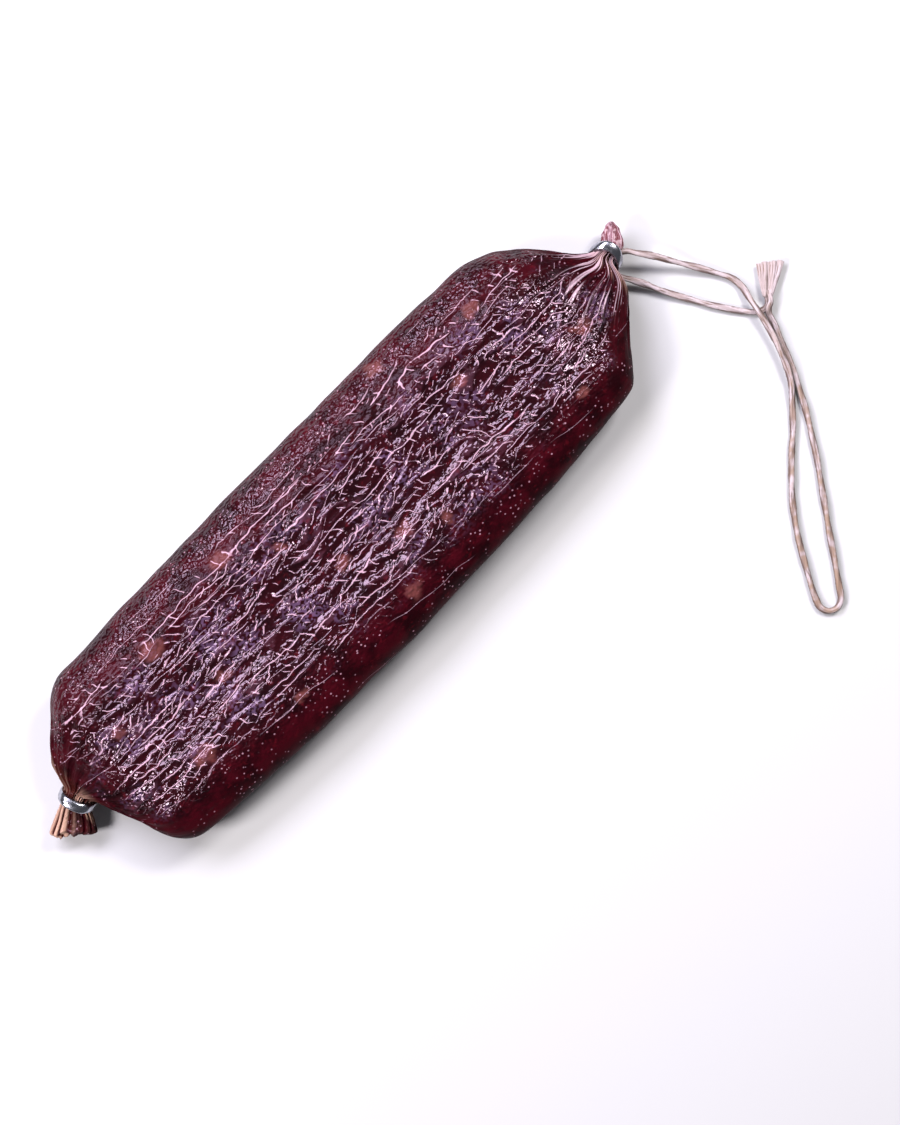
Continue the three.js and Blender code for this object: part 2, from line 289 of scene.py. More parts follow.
def steady_frames(centres):
    """Two unit vectors across the route at each centre, which turn as little as they can."""
    tangents = np.gradient(centres, axis=0)
    tangents /= np.linalg.norm(tangents, axis=1)[:, None]
    side = np.cross((0, 0, 1), tangents[0])
    sides = []
    for tangent in tangents:
        side = side - tangent * (side @ tangent)
        side = side / np.linalg.norm(side)
        sides.append(side)
    sides = np.array(sides)
    return sides, np.cross(tangents, sides)


def tube_mesh(name, rings):
    """A closed tube from rings of points. Its UV map runs along it in metres and once around."""
    count, sides = rings.shape[:2]
    vertices = rings.reshape(-1, 3)
    faces = []
    for i in range(count - 1):
        for k in range(sides):
            after = (k + 1) % sides
            row = i * sides
            faces.append((row + k, row + after, row + sides + after, row + sides + k))
    faces.append(tuple(reversed(range(sides))))
    faces.append(tuple(range((count - 1) * sides, count * sides)))
    mesh = bpy.data.meshes.new(name)
    mesh.from_pydata(vertices.tolist(), [], faces)
    centres = rings.mean(axis=1)
    run = np.concatenate([[0], np.cumsum(np.linalg.norm(np.diff(centres, axis=0), axis=1))])
    layer = mesh.uv_layers.new(name="UVMap")
    for loop in range((count - 1) * sides * 4):
        corner = loop % 4
        face = loop // 4
        ring = face // sides + (corner > 1)
        around = face % sides + (corner in (1, 2))
        layer.data[loop].uv = (run[ring], around / sides)
    mesh.shade_smooth()
    tube = bpy.data.objects.new(name, mesh)
    bpy.context.scene.collection.objects.link(tube)
    return tube


def lay_twine(name, route, seed):
    """Two plies twisted together, uneven in thickness, along a route."""
    centres = smooth_route(route_points(route), TWINE_STEP)
    sides, tops = steady_frames(centres)
    run = np.arange(len(centres)) * TWINE_STEP
    angle = np.linspace(0, 2 * math.pi, TWINE_SIDES, endpoint=False)
    turn = angle[None, :] - 2 * math.pi * run[:, None] / PLY_PITCH
    plump = np.array([noise.noise((seed, s / PLUMP_LENGTH, 0)) for s in run])[:, None]
    plies = 0.72 + 0.28 * np.abs(np.cos(turn)) ** 0.9
    fibres = 0.04 * np.sin(7 * turn + 6 * plump) + 0.03 * np.sin(13 * turn)
    radius = TWINE_DIAMETER / 2 * (plies + fibres) * (1 + 0.16 * plump)
    across = (radius * np.cos(angle))[:, :, None] * sides[:, None, :]
    upward = (radius * np.sin(angle))[:, :, None] * tops[:, None, :]
    return tube_mesh(name, centres[:, None, :] + across + upward), centres


def twine_finish():
    """Bast fibre: pale and slightly pink, with fibres along the lay. It has painted shade between
    the plies and on its lower side, and it is browner towards the tip of the loop, where it is
    handled."""
    finish = Finish("natural_twine")
    uv = finish.node("ShaderNodeUVMap", {"uv_map": "UVMap"})
    fibre = finish.noise(finish.stretched(uv, (150, 9, 1)), detail=4, roughness=0.65)
    stain = finish.noise(finish.coordinates((4, 4, 4)), detail=2)
    # Painted shade: the colour is darker between the two plies, where shade falls.
    painted_ply_gap_shade = 1 - finish.mask("ply").between(0.3, 0.85)
    colour = finish.mix(fibre.between(0.34, 0.52), FIBRE_BROWN, FIBRE_PALE)
    side = finish.node("ShaderNodeSeparateXYZ", {}, {0: finish.place()}, "Y")
    handled = 0.3 + side.between(-0.03, -0.08) * 0.6
    colour = finish.mix(stain.between(0.38, 0.6) * handled, colour, HANDLED_TAN)
    colour = finish.mix(painted_ply_gap_shade * 0.4, colour, PLY_GAP_SHADE_BROWN)
    # Painted shade: the lower side of each strand is painted darker.
    painted_underside_shade = finish.mask("under").between(0.08, 0.28)
    colour = finish.mix(painted_underside_shade * 0.85, colour, UNDERSIDE_SHADE_BROWN)
    return finish.set(
        Base_Color=colour,
        Roughness=0.62,
        Sheen_Weight=0.2,
        Normal=finish.bump(fibre * 0.25, 0.8),
    )


def mark_plies(tube):
    """Stores how far out each point of a twine lies, and how far below the top of its section, so
    that the finish can paint shade into the hollows between the plies and onto the lower sides."""
    points = np.array([v.co for v in tube.data.vertices]).reshape(-1, TWINE_SIDES, 3)
    points -= points.mean(axis=1, keepdims=True)
    out = np.linalg.norm(points, axis=2)
    for name, depth in (("ply", out), ("under", -points[:, :, 2])):
        low, high = depth.min(axis=1, keepdims=True), depth.max(axis=1, keepdims=True)
        layer = tube.data.attributes.new(name, "FLOAT", "POINT")
        layer.data.foreach_set("value", ((depth - low) / (high - low)).ravel().astype(np.float32))


twine_material = twine_finish()
long_twine, long_path = lay_twine("twine_with_loop", OVER_STRAND + HANGING_LOOP + LOOP_CURL, 3)
short_twine, short_path = lay_twine("twine_under", UNDER_STRAND + UNDER_CURL, 11)
for twine in (long_twine, short_twine):
    mark_plies(twine)
    twine.data.materials.append(twine_material)
    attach(twine, "root")
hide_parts("twine_over_strand", "twine_hanging_loop", "twine_knot")
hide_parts("twine_under_strand")

# The brush: the two cut ends of the twine, untwisted into flat locks of fibre that fan out.
BRUSH_TURN = math.radians(40.5)
BRUSH_LENGTH = 9.7 * MM
BRUSH_NECK = 1.1 * MM
BRUSH_SPREAD = 3.0 * MM
BRUSH_START = (0.0238, -0.0388, 0.15)
LOCKS = 11
LOCK_RINGS = 15
LOCK_SIDES = 12
FIRST_LOCK_SEED = 20


def lock_of_fibre(name, share, seed):
    """One flat lock. share is -1 at one edge of the fan and 1 at the other."""
    rng = np.random.default_rng(seed)
    forward = Vector((math.cos(BRUSH_TURN), math.sin(BRUSH_TURN), 0))
    aside = Vector((-math.sin(BRUSH_TURN), math.cos(BRUSH_TURN), 0))
    start = Vector(route_points([BRUSH_START])[0])
    length = BRUSH_LENGTH * (1 - 0.06 * share + rng.uniform(-0.03, 0.03))
    stack = rng.uniform(-0.4, 0.4) * MM
    centres = []
    for t in np.linspace(0, 1, LOCK_RINGS):
        spread = BRUSH_NECK * (1 - t) + BRUSH_SPREAD * t**0.8
        bow = 0.25 * MM * math.sin(3 * t + seed)
        rise = Vector((0, 0, -0.35 * MM * t + stack))
        centres.append(start + forward * length * t + aside * (spread * share + bow) + rise)
    centres = np.array(centres)
    sides, tops = steady_frames(centres)
    t = np.linspace(0, 1, LOCK_RINGS)[:, None]
    width = (0.42 + 0.3 * t) * MM * rng.uniform(0.8, 1.15)
    thickness = (0.4 - 0.12 * t) * MM
    angle = np.linspace(0, 2 * math.pi, LOCK_SIDES, endpoint=False)
    ripple = 1 + 0.14 * np.sin(5 * angle + seed)
    across = (width * ripple * np.cos(angle))[:, :, None] * sides[:, None, :]
    upward = (thickness * ripple * np.sin(angle))[:, :, None] * tops[:, None, :]
    return tube_mesh(name, centres[:, None, :] + across + upward)


locks = []
for i in range(LOCKS):
    locks.append(lock_of_fibre(f"lock_{i}", 2 * i / (LOCKS - 1) - 1, FIRST_LOCK_SEED + i))
nothing_selected()
for lock in locks:
    layer = lock.data.attributes.new("ply", "FLOAT", "POINT")
    layer.data.foreach_set("value", [0.9] * len(lock.data.vertices))
    lock.data.materials.append(twine_material)
    lock.select_set(True)
bpy.context.view_layer.objects.active = locks[0]
bpy.ops.object.join()
brush = locks[0]
brush.name = "twine_brush_end"
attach(brush, "root")
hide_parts("twine_brush")


# ---- The clips ------------------------------------------------------------------------------
# Soft aluminium wire with a flattened section, bent round each neck and crimped shut underneath,
# so that its two ends meet there. A clip grips the gathered casing by squeezing it.
CLIP_WIRE = 1.5 * MM
CLIP_BREADTH = 2.9 * MM
WIRE_SIDES = 20
WIRE_STEPS = 96
CLIP_LEAN = 0.4
BRIGHT_ALUMINIUM = (0.46, 0.47, 0.52)
RUBBED_ALUMINIUM = (0.26, 0.26, 0.29)

# Each clip: its turn in degrees, which way its neck's tail points, and how far its arch bows.
CLIPS = {"plain_clip": (21, -1, 0.5 * MM), "twine_clip": (16, 1, 1.7 * MM)}


def clip_finish():
    """Bright drawn aluminium with fine lines along the wire and a few dull rubs."""
    finish = Finish("clip_aluminium")
    rub = finish.noise(finish.coordinates((1.4, 1.4, 1.4)), detail=4, roughness=0.6)
    lines = finish.noise(finish.coordinates((0.12, 3, 3)), detail=2)
    return finish.set(
        Base_Color=finish.mix(rub.between(0.4, 0.7), BRIGHT_ALUMINIUM, RUBBED_ALUMINIUM),
        Metallic=1.0,
        Roughness=0.14 + rub.between(0.35, 0.75) * 0.16,
        Normal=finish.bump(lines * 0.06 + rub * 0.04, 0.5),
    )


def bend_clip(name, turn, tail_way, bow):
    """The wire's section is spun into a ring, whose halves are then drawn apart."""
    low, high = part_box(name)
    size = high - low
    turn = math.radians(turn)
    outer_width = (size.y - CLIP_BREADTH * math.sin(turn)) / math.cos(turn)
    inner = size.z / 2 - CLIP_WIRE
    nothing_selected()
    bpy.ops.mesh.primitive_circle_add(vertices=WIRE_SIDES, radius=1)
    clip = bpy.context.object
    clip.name = f"crimped_{name}"
    for vertex in clip.data.vertices:
        x, y = vertex.co.x, vertex.co.y
        wide = math.copysign(abs(x) ** 0.75, x) * CLIP_BREADTH / 2
        deep = math.copysign(abs(y) ** 0.7, y) * CLIP_WIRE / 2
        vertex.co = (wide, inner + CLIP_WIRE / 2 + deep, 0)
    bpy.ops.object.mode_set(mode="EDIT")
    bpy.ops.mesh.select_all(action="SELECT")
    bpy.ops.mesh.spin(steps=WIRE_STEPS, angle=2 * math.pi, center=(0, 0, 0), axis=(1, 0, 0))
    bpy.ops.mesh.remove_doubles(threshold=0.00001)
    bpy.ops.mesh.normals_make_consistent(inside=False)
    bpy.ops.object.mode_set(mode="OBJECT")
    straight = outer_width / 2 - inner - CLIP_WIRE
    for vertex in clip.data.vertices:
        across = vertex.co.y + straight * max(-1, min(1, vertex.co.y / (0.5 * inner)))
        below = vertex.co.z < 0
        # The crimp leaves a dent where the two ends of the wire meet, and flats beside it.
        seam = math.exp(-((across / (0.3 * MM)) ** 2)) * below
        flat = math.exp(-(((abs(across) - 1.9 * MM) / (0.9 * MM)) ** 2)) * below
        vertex.co.y = across
        vertex.co.z += (0.55 * seam + 0.14 * flat) * MM
        arch = bow * (0.4 - (2 * across / outer_width) ** 2)
        vertex.co.x += tail_way * (arch + CLIP_LEAN * vertex.co.z)
    clip.rotation_euler = Euler((0, 0, turn))
    clip.location = (low + high) / 2
    bpy.ops.object.transform_apply(location=True, rotation=True, scale=True)
    bpy.ops.object.shade_smooth()
    return clip


clip_material = clip_finish()
for clip_name, (clip_turn, clip_way, clip_bow) in CLIPS.items():
    clip = bend_clip(clip_name, clip_turn, clip_way, clip_bow)
    clip.data.materials.append(clip_material)
    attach(clip, "root")
    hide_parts(clip_name)

# ---- The sausage ----------------------------------------------------------------------------
# Meat in a collagen casing, pressed and dried until the middle of its top sank and its skin
# wrinkled. The casing is gathered into pleats at both necks, and its tails stick out past them.
# All sizes of the sausage are in millimetres, and its mesh is turned into metres at the end.
SQUARENESS = 0.8
OUTLINE_WIDTH = 31
OUTLINE_HEIGHT = 12
OUTLINE_STEPS = 600
RING_TOP = 18
RING_BOTTOM = 8
STATION_SPACING = 9
SKIN_LEVELS = 3
TROUGH_DEPTH = 2.3
TROUGH_MIDDLE = -0.02
PLAIN_NECK = (-100.75, 2.1)
TWINE_NECK = (104.55, 4.7)
PLAIN_TAIL = -101.9
TWINE_TAIL = 105.6
SEED_SHIFT = 17.3

DARK_MEAT = (0.012, 0.0005, 0.0018)
RED_MEAT = (0.040, 0.0013, 0.0045)
SUNKEN_MEAT = (0.007, 0.0003, 0.001)
LEAN_GRAIN = (0.10, 0.004, 0.009)
LILAC_SHEEN_PAINT = (0.24, 0.14, 0.28)
FAT_PINK = (0.20, 0.06, 0.055)
TAIL_MEAT = (0.19, 0.05, 0.06)
TAIL_FAT = (0.66, 0.48, 0.50)
PALE_CREST_AND_HIGHLIGHT = (0.36, 0.14, 0.22)
PALE_PLEAT_AND_HIGHLIGHT = (0.70, 0.50, 0.58)
PALE_LINE_AND_GLINT = (0.86, 0.54, 0.68)
GLINT_SPECK_PAINT = (0.55, 0.30, 0.38)
PLEAT_HOLLOW_SHADE = (0.075, 0.016, 0.01)
DRY_CASING = (0.62, 0.38, 0.28)
GLOSS_TINT = (1, 0.74, 0.9, 1)

# Stations along it, in millimetres: x, its two edges in y, its top and its underside in z, and how
# many degrees the section is turned. The tails and the necks are turned, the body isn't.
STATIONS = [
    (-108.6, 2.6, -10.2, 6.9, 2.7, 46), (-108.0, 3.0, -9.8, 7.2, 2.6, 46),
    (-106.0, 3.8, -7.6, 7.9, 3.1, 46), (-104.3, 4.4, -5.0, 8.8, 3.8, 44),
    (-103.0, 4.8, -3.3, 9.8, 4.7, 38), (-102.2, 5.2, -2.2, 10.5, 5.4, 26),
    (-101.5, 5.4, -1.9, 10.7, 5.3, 21), (-100.0, 6.1, -1.3, 10.7, 5.3, 21),
    (-99.2, 6.8, -1.6, 10.8, 5.2, 21), (-98.4, 7.8, -3.6, 11.6, 4.5, 19),
    (-97.0, 11.8, -8.6, 13.4, 3.2, 14), (-94.8, 16.0, -14.8, 15.4, 1.9, 8),
    (-92.2, 19.4, -20.2, 17.8, 1.0, 3), (-89.4, 22.8, -24.6, 19.8, 0.4, 0),
    (-86.6, 26.2, -27.6, 21.4, 0, 0), (-83.8, 28.2, -29.2, 22.6, 0, 0),
    (-80.2, 29.6, -29.6, 23.4, 0, 0), (-76.2, 29.6, -30.0, 23.9, 0, 0),
    (-68, 29.8, -30.3, 24.2, 0, 0), (-60, 30.2, -30.7, 24.2, 0, 0),
    (-43, 30.7, -31.8, 24.2, 0, 0), (-16, 31.6, -31.8, 24.2, 0, 0),
    (-6, 31.5, -32.3, 24.2, 0, 0), (10, 31.7, -31.6, 24.2, 0, 0), (38, 31.7, -30.4, 24.2, 0, 0),
    (59, 31.5, -29.2, 24.2, 0, 0), (70, 31.3, -28.2, 23.9, 0, 0),
    (75.4, 30.9, -27.4, 23.4, 0, 0), (79.8, 29.0, -26.9, 22.6, 0, 0),
    (82.6, 27.8, -26.4, 21.8, 0.2, 0), (84.6, 26.2, -25.8, 21.1, 0.3, 0),
    (86.6, 24.4, -23.8, 20.4, 0.5, 0), (91.4, 21.6, -16.4, 18.0, 1.4, 2),
    (96.8, 16.2, -9.8, 14.8, 2.8, 8), (99.8, 12.2, -7.0, 12.8, 4.0, 12),
    (101.6, 10.2, -3.2, 11.4, 4.8, 15), (102.6, 8.4, 0.6, 10.8, 5.3, 16),
    (103.3, 7.9, 2.2, 10.6, 5.4, 16), (105.2, 7.6, 3.0, 10.6, 5.4, 18),
    (106.3, 8.3, 2.4, 10.9, 5.1, 32), (107.5, 9.0, 2.4, 11.0, 4.9, 42),
    (108.9, 9.9, 4.0, 10.7, 4.9, 45), (110.2, 10.8, 6.2, 10.1, 5.0, 45),
    (111.3, 11.3, 8.1, 9.3, 5.3, 45), (111.9, 11.1, 9.4, 8.6, 5.8, 45),
    (112.2, 10.8, 10.1, 8.0, 6.4, 45),
]

# Pieces of fat that show through the skin of the top: x, y and radius in millimetres.
FAT = [
    (-27, 20, 2.6), (-57, 15.5, 3.2), (13.5, -9, 2.4), (4, -22.5, 2.7), (67, 19.5, 2.6),
    (37.5, 27.5, 2.2), (-66, -14, 3.0), (85, -4.5, 2.4), (-4, -4, 2.0), (24, -15, 1.8),
    (-37, -21, 1.6), (52, 8, 1.7), (-14, 11, 1.5), (-79, 6, 1.8), (73, -17, 1.6), (-48, -3, 1.5),
]


def section_outline():
    """The pressed section's rounded outline, within 1 of its middle, with most points on top."""
    sweep = np.linspace(0, math.pi, OUTLINE_STEPS)
    across = np.sign(np.cos(sweep)) * np.abs(np.cos(sweep)) ** SQUARENESS
    up = np.sin(sweep) ** SQUARENESS
    steps = np.hypot(np.diff(across) * OUTLINE_WIDTH, np.diff(up) * OUTLINE_HEIGHT)
    run = np.concatenate([[0], np.cumsum(steps)])
    points = []
    for way, count in ((1, RING_TOP), (-1, RING_BOTTOM)):
        for s in np.linspace(0, run[-1], count, endpoint=False):
            points.append((way * np.interp(s, run, across), way * np.interp(s, run, up)))
    return points


def close_stations():
    """The stations, with more between those that are further apart than the spacing."""
    rows = [STATIONS[0]]
    for row in STATIONS[1:]:
        last = np.array(rows[-1], float)
        steps = math.ceil((row[0] - last[0]) / STATION_SPACING)
        for step in range(1, steps + 1):
            rows.append(tuple(last + (np.array(row) - last) * step / steps))
    return rows


def turn_section(degrees, middle):
    """Turns the selected section clockwise, seen from above, as rotate does with no window."""
    turn = math.radians(degrees)
    bpy.ops.transform.rotate(value=turn, orient_axis="Z", center_override=middle)


def draw_out_casing():
    """Extrudes the section from station to station, then smooths the skin."""
    outline = section_outline()
    nothing_selected()
    bpy.ops.mesh.primitive_circle_add(vertices=len(outline), radius=1)
    casing = bpy.context.object
    casing.name = "sausage_in_casing"
    ring_across = casing.data.attributes.new("ring_across", "FLOAT", "POINT")
    ring_up = casing.data.attributes.new("ring_up", "FLOAT", "POINT")
    for i, (across, up) in enumerate(outline):
        casing.data.vertices[i].co = (0, across, up)
        turn = math.atan2(up, across)
        ring_across.data[i].value = math.cos(turn)
        ring_up.data[i].value = math.sin(turn)
    bpy.ops.object.mode_set(mode="EDIT")
    bpy.ops.mesh.select_all(action="SELECT")
    middle, half_width, half_height, turned = Vector((0, 0, 0)), 1, 1, 0
    for i, (x, high_edge, low_edge, top, underside, turn) in enumerate(close_stations()):
        new_middle = Vector((x, (high_edge + low_edge) / 2, (top + underside) / 2)) * MM
        new_width, new_height = (high_edge - low_edge) / 2 * MM, (top - underside) / 2 * MM
        if i:
            bpy.ops.mesh.extrude_edges_move(TRANSFORM_OT_translate={"value": new_middle - middle})
        else:
            bpy.ops.transform.translate(value=new_middle)
        if turned:
            turn_section(turned, new_middle)
        growth = (1, new_width / half_width, new_height / half_height)
        bpy.ops.transform.resize(value=growth, center_override=new_middle)
        if turn:
            turn_section(-turn, new_middle)
        middle, half_width, half_height, turned = new_middle, new_width, new_height, turn
    bpy.ops.mesh.select_all(action="SELECT")
    bpy.ops.mesh.fill_holes(sides=0)
    bpy.ops.mesh.normals_make_consistent(inside=False)
    bpy.ops.object.mode_set(mode="OBJECT")
    smoothing = casing.modifiers.new("smooth_skin", "SUBSURF")
    smoothing.levels = smoothing.render_levels = SKIN_LEVELS
    bpy.ops.object.modifier_apply(modifier=smoothing.name)
    bpy.ops.object.shade_smooth()
    return casing


def read_points(layer, attribute):
    """What a mesh keeps for each of its points, as one row of three numbers for each."""
    values = np.empty(len(layer) * 3, np.float32)
    layer.foreach_get(attribute, values)
    return values.reshape(-1, 3).astype(float)


def read_mark(mesh, name):
    values = np.empty(len(mesh.vertices), np.float32)
    mesh.attributes[name].data.foreach_get("value", values)
    return values.astype(float)


def lumps(places, stretch, seed):
    """Noise at each place, in lumps of about the stretch, in millimetres."""
    scaled = places / np.array(stretch) + SEED_SHIFT * seed
    return np.array([noise.noise(place) for place in scaled.tolist()])


def step_between(value, low, high):
    """0 below low and 1 above high, or the other way round, with a soft step between."""
    t = np.clip((value - low) / (high - low), 0, 1)
    return t * t * (3 - 2 * t)


def crests(places, stretch, seed, narrowness):
    """Thin winding crests, 1 on top of each and 0 between them."""
    return np.clip(1 - np.abs(lumps(places, stretch, seed)) * narrowness, 0, 1) ** 1.5


def wrinkle(casing):
    """Sinks the trough, raises folds and pleats on the skin, and flattens the underside."""
    mesh = casing.data
    places = read_points(mesh.vertices, "co") / MM
    normals = read_points(mesh.vertex_normals, "vector")
    ring_across, ring_up = read_mark(mesh, "ring_across"), read_mark(mesh, "ring_up")
    x, y = places.T[:2]
    station_x, high_edge, low_edge = np.array(STATIONS).T[:3]
    middle_y = np.interp(x, station_x, (high_edge + low_edge) / 2)
    half_width = np.interp(x, station_x, (high_edge - low_edge) / 2)
    across = (y - middle_y) / np.maximum(half_width, 1)
    on_top = step_between(normals[:, 2], 0.1, 0.6)

    # How far each place is from the nearer neck, and the parts of the skin that differ.
    from_plain_neck = np.hypot(x - PLAIN_NECK[0], y - PLAIN_NECK[1])
    from_twine_neck = np.hypot(x - TWINE_NECK[0], y - TWINE_NECK[1])
    from_neck = np.minimum(from_plain_neck, from_twine_neck)
    body = step_between(from_neck, 3, 16)
    past_neck = step_between(from_neck, 4, 20)
    from_middle = np.abs(across - TROUGH_MIDDLE)
    trough = on_top * (1 - step_between(from_middle, 0.42, 0.74)) * past_neck
    tail = ((x < PLAIN_TAIL) | (x > TWINE_TAIL)).astype(float)
    around = np.stack([ring_across, ring_up, x * 0], axis=1)

    wander_along, wander_across = lumps(places, (22, 16, 30), 1), lumps(places, (15, 12, 30), 2)
    wander = 4 * np.stack([wander_along, wander_across, x * 0], axis=1)
    wandered = places + wander
    folds = crests(wandered, (26, 2.9, 9), 3, 4.6)
    short_folds = crests(wandered, (10, 3.4, 9), 4, 5)
    patchy = step_between(lumps(places, (14, 9, 20), 7), -0.35, 0.25)
    cross_folds = crests(wandered, (3.6, 6.5, 9), 5, 5.5) * patchy
    crumple = crests(wandered, (2.6, 2.2, 6), 6, 4)

    # The pleats run out from each neck, so they follow the rings.
    drift = x[:, None] * (0.02, 0.015, 0.02)
    pleats = crests(around * 7.5 + wander * 0.06 + drift, (1, 1, 1), 8, 3.2)
    fine_pleats = crests(around * 14 + wander * 0.1 + x[:, None] * 0.03, (1, 1, 1), 9, 3.2)
    gather = np.exp(-((from_neck / 20) ** 2)) * (1 - 0.75 * tail)

    height = 0.55 * lumps(places, (24, 17, 20), 10) * body
    height += 0.25 * lumps(places, (8, 7, 8), 11) * body
    height += trough * (0.62 * folds + 0.36 * short_folds + 0.28 * cross_folds + 0.14 * crumple)
    height += (1 - trough) * body * on_top * (0.12 * folds * patchy + 0.06 * crumple * patchy)
    height += gather * (1.0 * (pleats - 0.4) + 0.5 * (fine_pleats - 0.4))
    places += normals * height[:, None]
    sunk = (1 - step_between(from_middle, 0.0, 0.72)) * on_top * step_between(from_neck, 8, 30)
    places[:, 2] -= TROUGH_DEPTH * sunk

    # The tails. The plain one is all pleats, each as long as it happens to be where it was cut.
    # Some meat was squeezed into the other, which is a small lumpy knob.
    plain_tail = step_between(-x, -PLAIN_TAIL, 104)
    bearing = np.arctan2(ring_up, ring_across)
    tail_pleats = np.abs(np.sin(6.4 * bearing + 0.8 * np.sin(5 * ring_across)))
    places += normals * (plain_tail * 0.75 * (tail_pleats - 0.55))[:, None]
    ragged = lumps(around * 3.2, (1, 1, 1), 12) * step_between(-x, 105.5, 108) * 1.3
    places[:, 0] -= 0.7 * ragged
    places[:, 1] -= 0.7 * ragged
    meaty_tail = step_between(x, TWINE_TAIL, 107)
    places += normals * (meaty_tail * 0.35 * lumps(places, (1.8, 1.8, 1.8), 13))[:, None]

    # It lies on the table.
    places[:, 2] = np.maximum(places[:, 2], 0)
    mesh.vertices.foreach_set("co", (places * MM).astype(np.float32).ravel())

    # What the finish needs to know: where the skin is folded, fatty, dry, meaty, lined or glossy.
    fat = np.zeros(len(x))
    for fat_x, fat_y, radius in FAT:
        away = np.hypot((x - fat_x) * 0.85, y - fat_y) + 1.7 * lumps(places, (2.2, 2.2, 2.2), 14)
        fat = np.maximum(fat, (1 - step_between(away, 0.55 * radius, 1.1 * radius)) * on_top)
    gathered = np.exp(-((from_neck / 25) ** 2)) * (pleats * 0.6 + fine_pleats * 0.9)
    dry_plain_end = step_between(-x, 96, 101) * (0.35 + 0.65 * tail_pleats)
    dry_twine_neck = 0.3 * step_between(x, 100, 103) * (x < 105.5)
    # The plain tail gets no dry tan on its low-y half, which stays dark.
    low_y_half = step_between(-x, 102, 103) * step_between(ring_across, 0.15, -0.15)
    lined = 1 - step_between(np.abs(across - 0.08), 0.56, 0.84)
    glossy = trough * (1 - 0.85 * step_between(across, 0.36, 0.58))
    far_edge = step_between(across, 0.68, 0.8) * (1 - step_between(across, 0.95, 1.02))
    marks = {
        "trough": trough,
        "crest": trough * np.clip(0.8 * folds + 0.6 * short_folds + 0.4 * cross_folds, 0, 1),
        "fat": fat,
        "dry": np.maximum(dry_plain_end, dry_twine_neck) * (1 - 0.97 * low_y_half),
        "meaty": meaty_tail,
        "gathered": gathered * (x > 0),
        "lined": lined * on_top * past_neck,
        "shine": step_between(normals[:, 2], 0.76, 0.94) * (0.13 + 0.87 * glossy),
        "sheen": far_edge * on_top * step_between(from_neck, 6, 22),
        "pleat": tail_pleats * plain_tail + (1 - plain_tail) * pleats,
    }
    for name, values in marks.items():
        layer = mesh.attributes.new(name, "FLOAT", "POINT")
        layer.data.foreach_set("value", values.astype(np.float32))
    mesh.update()


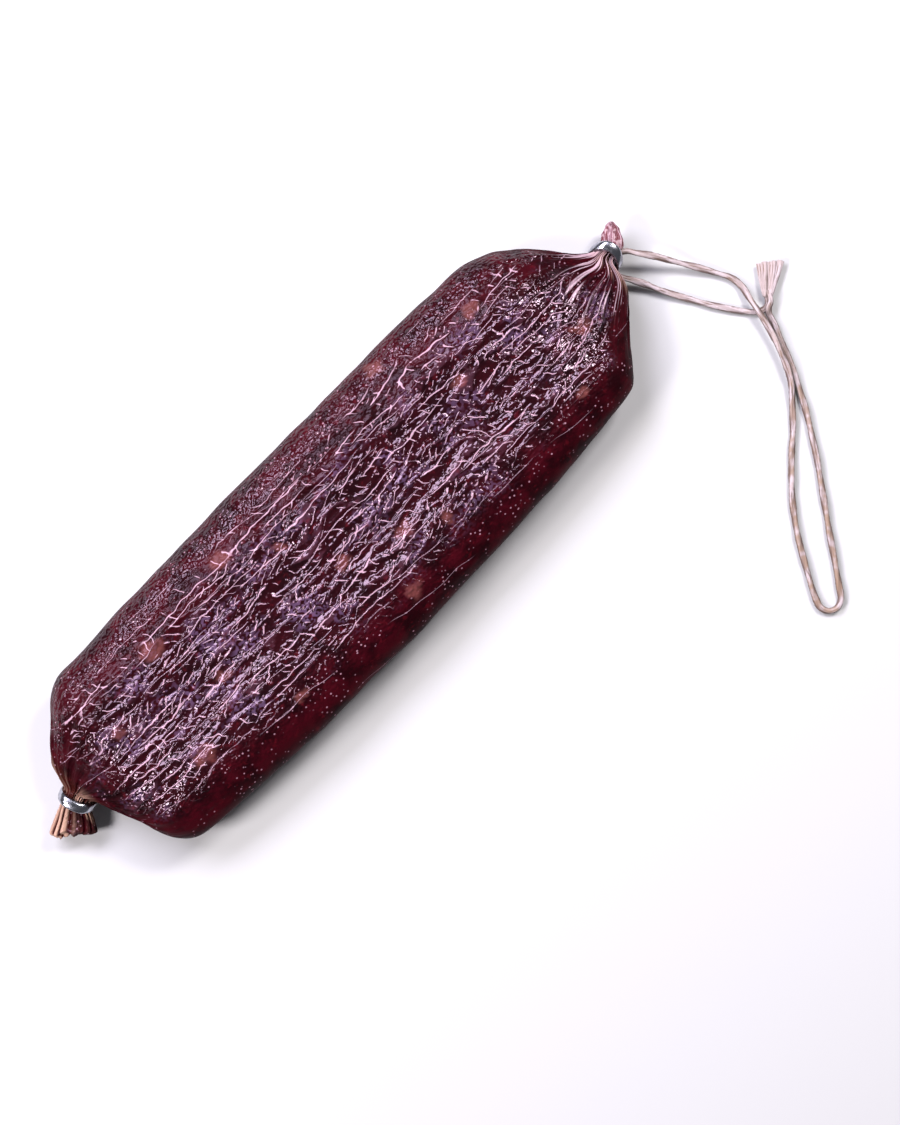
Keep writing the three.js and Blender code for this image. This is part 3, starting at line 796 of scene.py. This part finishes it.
def casing_finish():
    """Dark burgundy meat under a glossy casing that is paler where it is folded and dry. Its pale
    lines, crests and pleats are partly painted highlights, its specks are painted glints, its
    trough has a painted lilac sheen, and its pleat hollows have painted shade.
    """
    finish = Finish("cured_casing")
    trough, crest = finish.mask("trough"), finish.mask("crest")
    fat, dry, meaty = finish.mask("fat"), finish.mask("dry"), finish.mask("meaty")
    meat = finish.noise(finish.coordinates((7, 6, 7)), detail=3, roughness=0.6)
    grain = finish.noise(finish.coordinates((2.2, 1.8, 2.2)), detail=3, roughness=0.6)
    lilac_sheen_patches = finish.noise(finish.coordinates((11, 7, 9)), detail=2)

    def skin_lines(bearing, spacing, width, wander, length):
        """Thin raised lines, with their sizes in millimetres: which way they run, in degrees from
        the sausage's length, how far apart and how wide they are, how far they wander from
        straight, and how long each one is."""
        way = math.radians(bearing)
        across = Vector((-math.sin(way), math.cos(way), 0.35)) / (spacing * MM)
        product = {"operation": "DOT_PRODUCT"}
        straight = finish.node("ShaderNodeVectorMath", product, {0: finish.place(), 1: across}, 1)

        def patterned(lump, detail):
            return finish.noise(finish.coordinates([spacing * side for side in lump]), detail)

        bends = patterned((7, 3.4, 5), 0) * (wander * 2.4 / spacing)
        wiggles = patterned((1.5, 1.3, 2), 1) * (wander * 0.8 / spacing)
        wave = straight + bends + wiggles
        line = abs((wave * math.pi).sine()).between(width * 1.6 / spacing, 0)
        return line * patterned((length / spacing, 1.2, 2), 0).between(0.44, 0.62)

    patches = finish.noise(finish.coordinates((9, 5, 9)), detail=2).between(0.42, 0.58)
    pebble = finish.noise(finish.coordinates((2.4, 1.6, 1.8)), detail=0)
    dimples = finish.noise(finish.coordinates((0.95, 0.85, 0.9)), detail=0)
    long_lines = skin_lines(2, 2.4, 0.62, 1.8, 16)
    slant_lines = skin_lines(28, 1.9, 0.6, 2.0, 3.4) * patches
    cross_lines = skin_lines(-48, 2.2, 0.6, 2.2, 3) * (1 - patches)
    stray_lines = skin_lines(-3, 9.5, 0.42, 5.0, 24)
    cells = {"Vector": finish.coordinates((1.5, 1.3, 1.4)), "Scale": 1}
    from_cell_middle = finish.node("ShaderNodeTexVoronoi", {}, cells, "Distance")
    painted_glint_specks = from_cell_middle.between(0.23, 0.12) * patches
    lined = finish.mask("lined")
    net = lined * (long_lines + slant_lines) + (0.3 + lined * 0.7) * cross_lines
    net = (net + stray_lines * 0.7).at_most(1)
    pale_lit_crest = crest.between(0.55, 1)
    gathered = finish.mask("gathered").between(0.6, 0.95)
    painted_lilac_sheen = lilac_sheen_patches.between(0.5, 0.7) * dimples.between(0.42, 0.62) * trough

    colour = finish.mix(meat.between(0.35, 0.65), DARK_MEAT, RED_MEAT)
    colour = finish.mix(trough * 0.6, colour, SUNKEN_MEAT)
    colour = finish.mix(grain.between(0.56, 0.72) * 0.4, colour, LEAN_GRAIN)
    # Painted reflection: lilac speckled patches in the trough stand for a sheen of reflected light.
    colour = finish.mix(painted_lilac_sheen * 0.32, colour, LILAC_SHEEN_PAINT)
    colour = finish.mix(fat * (0.1 + grain * 0.8), colour, FAT_PINK)
    colour = finish.mix(meaty * 0.75, colour, TAIL_MEAT)
    colour = finish.mix(meaty * dimples.between(0.56, 0.66) * 0.6, colour, TAIL_FAT)
    # Fold crests in the trough are painted paler, partly as dry skin and partly as painted
    # highlight.
    colour = finish.mix(pale_lit_crest * 0.1, colour, PALE_CREST_AND_HIGHLIGHT)
    # Pleat crests by the twine neck are painted pale, partly as dry gathered skin and partly as
    # painted highlight.
    colour = finish.mix(gathered * 0.7, colour, PALE_PLEAT_AND_HIGHLIGHT)
    # The raised lines are painted pale, partly as paler folded skin and partly as painted glints.
    colour = finish.mix(net.between(0.3, 1) * 0.6, colour, PALE_LINE_AND_GLINT)
    # Painted highlights: the pale specks stand for glints on the dark skin.
    colour = finish.mix(painted_glint_specks * 0.6, colour, GLINT_SPECK_PAINT)
    # The dry ends are tan on the pleat crests, with painted shade in the pleat hollows.
    dry_pleats_and_shade = finish.mix(finish.mask("pleat").between(0.25, 0.9), PLEAT_HOLLOW_SHADE, DRY_CASING)
    colour = finish.mix(dry * 0.85, colour, dry_pleats_and_shade)

    # The skin is glossy where the meat has sunk away under it and along the top's far edge. On
    # the sides, where it is stretched smooth, it is dull and has no fine relief.
    shine = finish.mask("shine") + finish.mask("sheen") * 0.6
    relief = net * 0.2 + painted_glint_specks * 0.08 + pebble * (0.16 + trough * 0.06)
    relief = relief + dimples * (0.45 + patches * 0.1 - trough * 0.28)
    normal = finish.bump((shine * 4).at_most(1) * relief, 1.0)
    dull = finish.node(
        "ShaderNodeBsdfPrincipled",
        {},
        {"Base Color": colour, "Roughness": 0.5, "Specular IOR Level": 0.04, "Normal": normal},
    )
    finish.set(
        Base_Color=colour,
        Roughness=0.15,
        IOR=1.5,
        Specular_IOR_Level=0.65,
        Specular_Tint=GLOSS_TINT,
        Normal=normal,
    )
    glossy = Shade(finish, finish.shader.outputs["BSDF"])
    both = finish.node("ShaderNodeMixShader", {}, {0: shine, 1: dull, 2: glossy})
    finish.plug(finish.tree.nodes["Material Output"].inputs["Surface"], both)
    return finish.material


sausage = draw_out_casing()
wrinkle(sausage)
sausage.data.materials.append(casing_finish())
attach(sausage, "root")
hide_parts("sausage")
